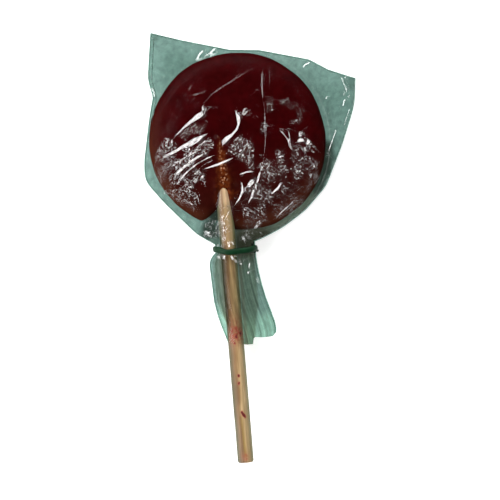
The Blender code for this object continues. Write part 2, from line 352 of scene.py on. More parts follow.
# The sugar climbs a little up the stick on both sides of it, and over the start of it.
beside_stick = np.abs(np.abs(candy_x - STICK_X) - 2.2)
candy_z = candy_z + on_top * 0.35 * np.exp(-(beside_stick / 0.8) ** 2) * smooth(-8, -16, candy_y)
over_start = (np.exp(-((candy_x - STICK_X - 0.2) / 2.6) ** 2) * smooth(-15.8, -14.2, candy_y)
              * smooth(-4, -9, candy_y))
candy_z = candy_z + on_top * 0.28 * over_start
candy_rings = np.column_stack([candy_x.ravel(), candy_y.ravel(), candy_z.ravel()])
candy_points, candy_faces = closed_rings(candy_rings, CANDY_SIDES, (0, 0, candy_z[0].mean()),
                                         (0, 0, RIM_Z - CANDY_BELLY))
candy_faces = [group[:, ::-1] for group in candy_faces]

# %% [markdown]
# Boiled sugar is a coloured glass. Where it is thick it looks nearly black red, near the rim it is
# browner because light comes through, and round the end of the stick, where air and wood hold the
# light, it glows orange with small bubbles. A full glass shader would need many light bounces to
# show that, so here the depth of colour is worked out from the shape and the surface only gets its
# gloss from the shader.

# %% The candy's finish
GLOW_LINE = at((219, 140), (220.7, 148), (222.2, 160), (223.2, 172), (224.2, 187), (226, 196))


def lengths_along(line):
    """How far along a line of places each of them lies."""
    return np.concatenate([[0], np.cumsum(np.hypot(*np.diff(line, axis=0).T))])


def along_line(x, y, line):
    """Distance to a line of points, how far along it (0 to 1), and the side, + on its left."""
    best = np.full(np.shape(x), 1e9)
    share, side = np.zeros_like(best), np.zeros_like(best)
    lengths = np.hypot(*np.diff(line, axis=0).T)
    done = lengths_along(line)
    for k, ((ax, ay), (bx, by)) in enumerate(zip(line, line[1:])):
        dx, dy = bx - ax, by - ay
        t = np.clip(((x - ax) * dx + (y - ay) * dy) / lengths[k] ** 2, 0, 1)
        away = np.hypot(x - ax - t * dx, y - ay - t * dy)
        near = away < best
        best = np.where(near, away, best)
        share = np.where(near, (done[k] + t * lengths[k]) / done[-1], share)
        side = np.where(near, np.sign(dx * (y - ay) - dy * (x - ax)), side)
    return best, share, side


flat_x, flat_y = candy_points[:, 0], candy_points[:, 1]
away, share, _ = along_line(flat_x, flat_y, GLOW_LINE)
top_side = smooth(RIM_Z, RIM_Z + 2, candy_points[:, 2])
ragged_edge = away * (1 + 0.35 * soft_noise(flat_x + 40, flat_y + 40, 1.1, 15))
glow_amount = np.exp(-(ragged_edge / (0.6 + 1.6 * share)) ** 2) * smooth(-0.05, 0.3, share) * top_side
bubble_amount = (np.exp(-(ragged_edge / 0.9) ** 2) * (0.35 + 0.65 * smooth(0.3, 0.5, share))
                 * smooth(0.85, 0.7, share) * smooth(-0.05, 0.05, share) * top_side)
from_middle = np.hypot(flat_x, flat_y) / CANDY_RADIUS
thin_amount = smooth(0.80, 1.0, from_middle) * smooth(0.35, -0.75, (flat_y + 0.35 * flat_x) / CANDY_RADIUS)
low_amount = smooth(0.1, -0.9, flat_y / CANDY_RADIUS)

sugar, tree = new_material("dark chamoy sugar")
cloud = tree.ramp(tree.noise(160.0, 4.0, 0.6), 0.35, 0.65)
red = tree.blend(cloud, (0.030, 0.0008, 0.0012), (0.044, 0.0011, 0.0017))
browner = tree.blend(tree.own("low"), red, (0.034, 0.0042, 0.0026))
rim_brown = tree.blend(tree.own("thin"), browner, (0.070, 0.016, 0.007))
warm_cloud = tree.ramp(tree.noise(900.0, 3.0), 0.38, 0.66)
orange = tree.blend(warm_cloud, (0.060, 0.008, 0.002), (0.21, 0.045, 0.008))
warm_sugar = tree.blend(tree.own("glow"), rim_brown, orange)
# Pale bubble cores: partly real bubbles, partly painted glints.
bubbles = tree.add("TexVoronoi", {"feature": "F1"}, Vector=tree.place(), Scale=1250.0)
bubble_core = tree.ramp(bubbles.outputs["Distance"], 0.42, 0.20)
bubble_and_glint_share = tree.two("MULTIPLY", bubble_core, tree.own("bubbles"))
sugar_colour = tree.blend(bubble_and_glint_share, warm_sugar, (0.75, 0.36, 0.20))
uneven = tree.bump(tree.noise(700.0, 3.0), 0.25, 0.0002)
tree.finish(tree.add("BsdfPrincipled", Base_Color=sugar_colour, Normal=uneven, Roughness=0.32, IOR=1.5,
                     Specular_IOR_Level=0.02))

make_piece("candy", candy_points, candy_faces, sugar, "candy", "candy",
           glow=0.85 * glow_amount, bubbles=bubble_amount, thin=thin_amount, low=low_amount)

# %% [markdown]
# ## The stick
# A birch dowel of 5 mm, sawn off and tumbled so that its ends are slightly round. Turned wood
# isn't a perfect cylinder: it has shallow flats and a fine grain along it. The form is a profile
# carried along the stick, and its radius gets a long stretched noise.

# %% The stick's form
STICK_TOP_Y, STICK_END_Y = 0.75, -100.0
STICK_ROUNDING = 0.8
STICK_SIDES, STICK_ROWS = 96, 480

length_turn = np.linspace(0, math.pi / 2, 6)
inset = STICK_ROUNDING * (1 - np.sin(length_turn))
end_run = STICK_ROUNDING * (1 - np.cos(length_turn))
straight_part = np.linspace(STICK_TOP_Y - 1.2, STICK_END_Y + 1.2, STICK_ROWS)
stick_y = np.concatenate([STICK_TOP_Y - end_run, straight_part, STICK_END_Y + end_run[::-1]])[:, None]
round_end = STICK_RADIUS - inset
stick_r = np.concatenate([round_end, np.full(STICK_ROWS, STICK_RADIUS), round_end[::-1]])[:, None]
stick_turn = np.linspace(0, 2 * math.pi, STICK_SIDES, endpoint=False)[None, :]
grain_height = (0.045 * soft_noise(stick_turn * 9 + 40, stick_y * 0.12 + 60, 1.0, 21)
                + 0.020 * soft_noise(stick_turn * 22 + 60, stick_y * 0.4 + 60, 1.0, 22))
seam_blend = smooth(0, 0.6, stick_turn) * smooth(2 * math.pi, 2 * math.pi - 0.6, stick_turn)
stick_r = stick_r + grain_height * seam_blend - 0.03
stick_rings = np.stack([STICK_X + stick_r * np.cos(stick_turn), stick_y + 0 * stick_turn,
                        STICK_Z + stick_r * np.sin(stick_turn)], -1).reshape(-1, 3)
stick_points, stick_faces = closed_rings(stick_rings, STICK_SIDES, (STICK_X, STICK_TOP_Y, STICK_Z),
                                         (STICK_X, STICK_END_Y, STICK_Z))

# %% [markdown]
# The wood is tan, with darker lines along it. Its sides are greyer and greener, which is painted shade
# and a painted reflection of the green film, and the sugar's colour has stained it in a few places.
# Each stain is a soft spot at its place in the picture, and only on the side that faces up. A thin
# stain is a light red wash and a strong one goes dark red in its middle.

# %% The stick's finish
STAINS = (
    ((237, 332), 2.3, 0.50), ((234.5, 336), 1.6, 0.45), ((240.8, 332.3), 0.6, 0.95),
    ((236.4, 335.7), 0.38, 1.6), ((234.8, 342.5), 0.28, 1.4), ((232.5, 330), 0.6, 0.7),
    ((238.8, 374.7), 0.30, 1.9), ((239.1, 382.2), 0.28, 2.0), ((242.0, 411.3), 0.30, 2.0),
    ((243.0, 412.6), 0.32, 2.4), ((243.9, 413.9), 0.32, 2.6), ((244.8, 415.2), 0.28, 2.4),
    ((245.8, 455.2), 0.9, 0.4), ((237, 322), 2.0, 0.2),
)
wood_x, wood_y, wood_z = stick_points.T
upward = smooth(-0.1, 0.5, (wood_z - STICK_Z) / STICK_RADIUS)
stain_amount = np.zeros(len(stick_points))
for pixel, size, amount in STAINS:
    (spot_x, spot_y), = at(pixel)
    spot = np.exp(-(((wood_x - spot_x) / size) ** 2 + ((wood_y - spot_y) / size / 1.3) ** 2))
    stain_amount = np.maximum(stain_amount, amount * spot * upward)
# Painted shade and a painted reflection of the green film on both sides of the stick.
side_shade_amount = smooth(0.55, 1.0, np.abs(wood_x - STICK_X) / STICK_RADIUS)


def read_off(where, stations, table):
    """The columns of a table, each blended between its stations, at the places asked for."""
    return np.column_stack([np.interp(where, stations, column) for column in np.transpose(table)])


# Painted shading across the wood from its left side to its right one: shaded and brownish first, then lit and
# pale.
SHADING_ACROSS_STICK = np.array([
    (-1.0, 0.52, 0.66, 0.68), (-0.6, 0.56, 0.60, 0.62), (-0.3, 0.74, 0.66, 0.56), (0.0, 1.15, 1.25, 1.10),
    (0.3, 1.30, 1.48, 1.38), (0.6, 1.25, 1.48, 1.35), (1.0, 1.00, 1.20, 1.05)])
sideways = (wood_x - STICK_X) / STICK_RADIUS
sideways = sideways + 0.10 * soft_noise(wood_y * 0.3 + 90, 0 * sideways, 1.0, 23)
wood_tone = read_off(sideways, SHADING_ACROSS_STICK[:, 0], SHADING_ACROSS_STICK[:, 1:])
# Where the stick leaves the sugar it is paler, and a painted highlight runs along the part below the bag.
PALER = np.array([0.68, 0.74, 1.15])
wood_tone *= 1 + PALER * smooth(-22.0, -17.0, wood_y[:, None])
strip_middle = 0.10 + 0.20 * smooth(-62, -90, wood_y)
highlight_strip = smooth(-60, -64, wood_y) * np.exp(-((sideways - strip_middle) / 0.25) ** 2)
wood_tone *= 1 + 0.24 * highlight_strip[:, None]
# Below the bag it is browner on its left, and farther down a brown streak runs to the end.
BROWNING = np.array([0.13, 0.17, 0.32])
STREAK = at((240.8, 416), (243.0, 433), (245.4, 454))
from_streak, _, _ = along_line(wood_x, wood_y, STREAK)
brown_left = smooth(-62, -66, wood_y) * smooth(-90, -80, wood_y) * smooth(0.1, -0.3, sideways)
browned = np.maximum(brown_left, 1.7 * np.exp(-(from_streak / 0.6) ** 2) * upward)
wood_tone *= 1 - browned[:, None] * BROWNING

wood, tree = new_material("birch")
lengthways = tree.add("Mapping", Vector=tree.place(), Scale=(1.0, 0.035, 1.0)).outputs[0]
lines = tree.noise(1900.0, 5.0, 0.62, at_place=lengthways)
broad = tree.noise(420.0, 2.0, at_place=lengthways)
tan = tree.blend(tree.ramp(lines, 0.32, 0.68), (0.230, 0.128, 0.056), (0.490, 0.325, 0.185))
warmer = tree.blend(tree.ramp(broad, 0.35, 0.65, 0.0, 0.55), tan, (0.430, 0.225, 0.115))
side_shaded = tree.blend(tree.own("side"), warmer, (0.165, 0.145, 0.070))
# The wood's colour times its painted shading and tone.
toned = tree.add("VectorMath", {"operation": "MULTIPLY"}, _0=side_shaded, _1=tree.own("tone", "Color")).outputs[0]
ragged = tree.ramp(tree.noise(1500.0, 3.0), 0.35, 0.60, 0.4, 1.25)
soaked = tree.two("MULTIPLY", tree.own("stain"), ragged, use_clamp=True)
washed = tree.blend(tree.ramp(soaked, 0.0, 0.5), toned, (0.400, 0.075, 0.045))
wood_colour = tree.blend(tree.ramp(soaked, 0.5, 1.0), washed, (0.130, 0.008, 0.008))
grain = tree.bump(lines, 0.5, 0.0001)
tree.finish(tree.add("BsdfPrincipled", Base_Color=wood_colour, Normal=grain, Roughness=0.6))

make_piece("stick", stick_points, stick_faces, wood, "wood", "stick",
           stain=stain_amount, side=side_shade_amount, tone=wood_tone)

# %% [markdown]
# ## The bag
# The bag is two sheets of clear film, sealed at the sides and along the top. Over the disc each
# sheet hugs the candy and then runs straight to the seam. At the neck the elastic gathers it round
# the stick, and below that it opens into a skirt.
#
# First come the two side seams, from the top corners down to the hem, as lines of places read
# along the bag. Each row of the sheets runs from one seam to the other.

# %% The bag's outline
CORNER_LEFT, CORNER_RIGHT = (-24.0, 35.4), (38.2, 16.2)
TOP_EDGE = np.array([CORNER_LEFT, (-14.6, 32.3), (0.0, 28.2), (9.2, 27.3), (24.3, 23.2), (30.1, 19.5),
                     CORNER_RIGHT])
LEFT_DENT = at((148.6, 79.5), (150.8, 88.1), (154.3, 98.2), (152.2, 105.4), (149.3, 125.4), (147.2, 144.1),
               (145.0, 162.7), (145.7, 178.5), (148.6, 184.3))
LEFT_SEAM = np.array([CORNER_LEFT, *LEFT_DENT, (-24.0, -17.4), (-14.8, -27.9), (-11.2, -30.4), (-9.3, -31.6)])
RIGHT_SEAM = np.array([CORNER_RIGHT, (37.3, 8.8), (36.0, 5.0), (32.3, -4.2), (26.3, -16.3), (19.4, -23.2),
                       (12.2, -27.8), (5.4, -30.8), (2.7, -31.6)])
# The neck and skirt: Y, left fold's X and radius, right fold's X and radius, folds' Z, row's slant.
NECK = np.array([
    (-9.0, -8.2, 2.6, -2.6, 2.6, 5.2, 0.0), (-20.0, -8.9, 2.6, -1.9, 2.6, 5.0, 0.0),
    (-27.0, -9.8, 1.8, 1.2, 1.8, 4.4, 0.0), (-30.3, -11.0, 1.5, 5.0, 1.5, 4.4, 0.0),
    (-31.6, -9.3, 2.6, 2.8, 2.6, 5.2, 0.0), (-34.4, -9.4, 2.6, 2.8, 2.6, 5.2, 0.0),
    (-35.3, -10.4, 2.3, 2.8, 2.4, 5.2, 0.0), (-36.5, -11.2, 1.9, 2.8, 2.4, 5.2, 0.01),
    (-38.1, -11.5, 1.7, 2.9, 2.3, 5.2, 0.02), (-41.0, -11.4, 1.6, 3.2, 2.1, 5.2, 0.03),
    (-45.4, -11.2, 1.5, 3.9, 1.9, 5.2, 0.05), (-49.5, -11.0, 1.4, 4.8, 1.7, 5.2, 0.07),
    (-53.5, -10.3, 1.4, 6.0, 1.5, 5.2, 0.09), (-57.0, -9.4, 1.4, 6.9, 1.2, 5.2, 0.10),
    (-60.0, -8.5, 1.5, 7.2, 1.0, 5.2, 0.10), (-62.9, -7.7, 1.7, 6.9, 0.9, 5.2, 0.10)])
GATHER_Y = -31.6
SLEEVE_RADIUS = 3.3
SKIN = 0.7
SEAM_Z, LOWEST = 4.0, 0.1


def evenly(line, count, rounding=1.2):
    """Points at even steps along a line of places, with its inner corners rounded off a little."""
    done = lengths_along(line)
    fine = np.linspace(0, done[-1], 2001)
    fine_line = read_off(fine, done, line)
    step = fine[1]
    reach = int(3 * rounding / step)
    weights = np.exp(-0.5 * (np.arange(-reach, reach + 1) * step / rounding) ** 2)
    weights /= weights.sum()
    odd = np.concatenate([2 * fine_line[0] - fine_line[reach:0:-1], fine_line,
                          2 * fine_line[-1] - fine_line[-2:-reach - 2:-1]])
    rounded = np.column_stack([np.convolve(odd[:, k], weights, "valid") for k in (0, 1)])
    return read_off(np.linspace(0, done[-1], count), fine, rounded)


def neck_value(y, column):
    """A column of the neck's table, blended between its stations, at each Y."""
    return np.interp(-y, -NECK[:, 0], NECK[:, column])


def bag_rows(head_rows, skirt_rows):
    """The left and right end of each row of film, and the Y that names its station at the neck."""
    left_head, right_head = evenly(LEFT_SEAM, 1201), evenly(RIGHT_SEAM, 1201)
    # Rows lie closer together over the lower half of the disc, where the creases are.
    density = np.linspace(0, 1, 1201)
    weight = 1 + 0.9 * smooth(0.22, 0.36, density) * smooth(0.98, 0.85, density)
    spread = np.concatenate([[0], np.cumsum(weight[1:])])
    pick = np.interp(np.linspace(0, spread[-1], head_rows), spread, np.arange(1201))
    pick = np.round(pick).astype(int)
    left_head, right_head = left_head[pick], right_head[pick]
    y = np.linspace(GATHER_Y, NECK[-1, 0], skirt_rows + 1)[1:]
    slant = neck_value(y, 6)
    left_x, right_x = neck_value(y, 1), neck_value(y, 3)
    for _ in range(4):
        left_y, right_y = y + slant * (left_x - STICK_X), y + slant * (right_x - STICK_X)
        left_x, right_x = neck_value(left_y, 1), neck_value(right_y, 3)
    left = np.concatenate([left_head, np.column_stack([left_x, left_y])])
    right = np.concatenate([right_head, np.column_stack([right_x, right_y])])
    station = np.concatenate([np.full(head_rows, np.nan), y])
    return left, right, station


# %% [markdown]
# Then each row gets its height. Over the disc the film follows the dome to its shoulder, is bent
# over there, runs down in a straight facet to just outside the rim, and lies flat from there to the
# seam. Round the neck, the film is a taut loop round three rounds: the stick and a fold on each
# side. Its height at one X is that of the lowest line that lies on top of all three.

# %% The taut film
HEAD_ROWS, SKIRT_ROWS = 322, 120
FRONT_COLUMNS, BACK_COLUMNS = 300, 120
FRONT_SHOULDER, BACK_SHOULDER = 0.88, 0.95


def outline_round():
    """Angle and distance from the disc's middle of the seam all round the head of the bag."""
    line = np.concatenate([TOP_EDGE[::-1], LEFT_SEAM[1:-1], RIGHT_SEAM[-2::-1]])
    fine = evenly(line, 3000, rounding=0.5)
    turn = np.arctan2(fine[:, 1], fine[:, 0])
    order = np.argsort(turn)
    return turn[order], np.hypot(fine[:, 0], fine[:, 1])[order]


ROUND_TURN, ROUND_SEAM = outline_round()


def bent_head(x, y, height_at, shoulder, seam_rise):
    """Height over the rim: the disc's own up to its shoulder, then a straight line down, then flat."""
    angle, out = np.arctan2(y, x), np.hypot(x, y)
    rim = CANDY_RADIUS + SKIN + 0.1 + LOBE[2] * window(angle, *LOBE[:2])
    leave = rim * (shoulder + 0.006 * soft_noise(np.cos(angle) * 9, np.sin(angle) * 9, 1.3, 17))
    foot = np.minimum(rim, np.interp(angle, ROUND_TURN, ROUND_SEAM, period=2 * math.pi) - 0.1)
    there = height_at(leave, rim)
    line = there + (seam_rise - there) * (out - leave) / (foot - leave)
    return np.where(out < leave, height_at(np.minimum(out, rim), rim), np.maximum(line, seam_rise))


def taut_neck(x, station, side):
    """Height of the lowest line on top of the three rounds, or of the highest one below them."""
    left_x, left_r, right_x, right_r, fold_z = (neck_value(station, column) for column in range(1, 6))
    rounds = ((STICK_X, STICK_Z, SLEEVE_RADIUS), (left_x + left_r, fold_z, left_r),
              (right_x - right_r, fold_z, right_r))
    height = np.full(x.shape, 1e3)
    for lean in np.radians(np.linspace(3, 177, 59)):
        along, up = math.cos(lean), math.sin(lean)
        reach = np.max(np.stack([a * along + side * b * up + r + 0 * x for a, b, r in rounds]), 0)
        height = np.minimum(height, (reach - x * along) / up)
    return side * height


def film_sheet(columns, side):
    """X, Y and Z of one sheet, row by row from the top edge to the hem; side is 1 for the front."""
    left, right, station = bag_rows(HEAD_ROWS, SKIRT_ROWS)
    across = np.linspace(0, 1, columns)
    gathered = smooth(-22, -31, (left[:, 1] + right[:, 1]) / 2)[:, None]
    share = across * (1 - gathered) + (1 - np.cos(math.pi * across)) / 2 * gathered
    x = left[:, :1] * (1 - share) + right[:, :1] * share
    y = left[:, 1:] * (1 - share) + right[:, 1:] * share
    corners = TOP_EDGE[-1] - TOP_EDGE[0]
    top_share = (TOP_EDGE - TOP_EDGE[0]) @ corners / np.sum(corners ** 2)
    straight = TOP_EDGE[0] + top_share[:, None] * corners
    fade = np.clip(1 - np.arange(len(left)) / (0.42 * HEAD_ROWS), 0, 1)[:, None] ** 2
    x = x + fade * np.interp(across, top_share, TOP_EDGE[:, 0] - straight[:, 0])
    y = y + fade * np.interp(across, top_share, TOP_EDGE[:, 1] - straight[:, 1])
    named = np.where(np.isnan(station)[:, None], y, station[:, None])
    if side > 0:
        disc, shoulder = lambda r, rim: dome(r / rim, CANDY_DOME + SKIN), FRONT_SHOULDER
    else:
        disc, shoulder = lambda r, rim: belly(r, rim, RIM_Z - LOWEST), BACK_SHOULDER
    head = RIM_Z + side * bent_head(x, y, disc, shoulder, side * (SEAM_Z - RIM_Z))
    neck = taut_neck(x, named, side)
    z = np.where(named > NECK[0, 0], head, side * np.maximum(side * head, side * neck))
    # A slanted row can reach past the folds of its station, so there X is held just inside them.
    inside = np.clip(x, neck_value(named, 1) + 0.02, neck_value(named, 3) - 0.02)
    z = np.where(named < GATHER_Y, taut_neck(inside, named, side), z)
    edge = np.interp(-named[:, [0, -1]], -NECK[1:, 0], [SEAM_Z, SEAM_Z, 4.4, 5.2, *NECK[5:, 5]])
    z[:, 0], z[:, -1] = edge[:, 0], edge[:, 1]
    z[0] = SEAM_Z
    passes = np.where(named[:, columns // 2] < -24, 30, 6)[1:-1, None]
    for turn in range(30):
        mean = (z[:-2, 1:-1] + z[2:, 1:-1] + z[1:-1, :-2] + z[1:-1, 2:]) / 4
        z[1:-1, 1:-1] = np.where(turn < passes, mean, z[1:-1, 1:-1])
    return x, y, np.maximum(z, LOWEST), named, share


front_x, front_y, front_z, front_named, front_share = film_sheet(FRONT_COLUMNS, 1)
back_x, back_y, back_z, back_named, back_share = film_sheet(BACK_COLUMNS, -1)
print("the sheets lie between", back_z.min().round(2), "and", front_z.max().round(2), "mm above the table")

# %% [markdown]
# ## Creases
# Pulled round a disc, film folds into sharp steps: a narrow ramp that catches the light, and a
# long gentle way back down. Each crease is such a ramp along a line. Its slope is the one that
# mirrors the lit ring, with the slope that the film has there anyway taken off, so a crease is
# bright wherever it lies, and it is as wide as its ramp.

# %% The shape of a crease
LIT_SLOPE = math.tan(math.acos((RING_TOP + RING_BOTTOM) / 2) / 2)


def sheet_slope(x, y, z):
    """How fast Z grows along X and along Y, from the steps between neighbours in rows and columns."""
    (x_down, x_along), (y_down, y_along), (z_down, z_along) = np.gradient(x), np.gradient(y), np.gradient(z)
    area = x_down * y_along - x_along * y_down
    area = np.where(np.abs(area) < 1e-9, 1e-9, area)
    return (z_down * y_along - z_along * y_down) / area, (z_along * x_down - z_down * x_along) / area


def crease(line, widths, brightness=1.0):
    """Ramp height and share of shine: ramp slope times its width, times how far up the ramp a point is."""
    away, share, side = along_line(front_x, front_y, line)
    stops = lengths_along(line)
    ahead = np.gradient(line, axis=0)
    ahead /= np.linalg.norm(ahead, axis=1, keepdims=True)
    ahead_x, ahead_y = (np.interp(share, stops / stops[-1], ahead[:, k]) for k in (0, 1))
    run = line[-1] - line[0]
    high = -1.0 if KEY_DIRECTION[1] * run[0] - KEY_DIRECTION[0] * run[1] > 0 else 1.0
    own_slope = np.clip(high * (plain_slope_x * ahead_y - plain_slope_y * ahead_x), -0.35, 0.5)
    from_end = np.minimum(share, 1 - share)
    ends = np.sin(math.pi / 2 * np.clip(from_end / 0.25, 0, 1))
    width = np.interp(share, np.linspace(0, 1, len(widths)), widths) / PIXELS_PER_MM * ends + 1e-6
    across = away * side * high
    slope = LIT_SLOPE * (1 + 0.12 / (width + 0.1) * smooth(0.8, 0.3, width)) + own_slope
    ramp = np.clip(across / width + 0.5, 0, 1)
    behind = np.clip(across - width / 2, 0, None)
    back = np.exp(-0.5 * (behind / (1.2 + 2 * width)) ** 2)
    back *= 1 - smooth(0, 0.9, behind) * (1 - smooth(0, 0.45, from_end))
    # The film isn't pulled equally tight at each crease: 0.9 is about half as shiny as 1.
    shine = np.exp(-(away / (0.7 * width + 0.25)) ** 2) * ends * brightness**6
    return slope * width * ramp * back, shine


plain_slope_x, plain_slope_y = sheet_slope(front_x, front_y, front_z)
sheet_width = np.hypot(front_x[:, -1:] - front_x[:, :1], front_y[:, -1:] - front_y[:, :1])
edge_room = smooth(0.0, 1.0, front_share * (1 - front_share) * 4 * sheet_width / 4)
plain_slope = np.hypot(plain_slope_x, plain_slope_y)[50:250, 50:250]
print("lit slope", round(LIT_SLOPE, 2), "and the plain film slopes up to", plain_slope.max().round(2))

# %% [markdown]
# The creases are read from the picture, each as a few places along it, how wide it is at even
# steps from one end to the other, all in pixels, and how bright it is where that isn't 1.

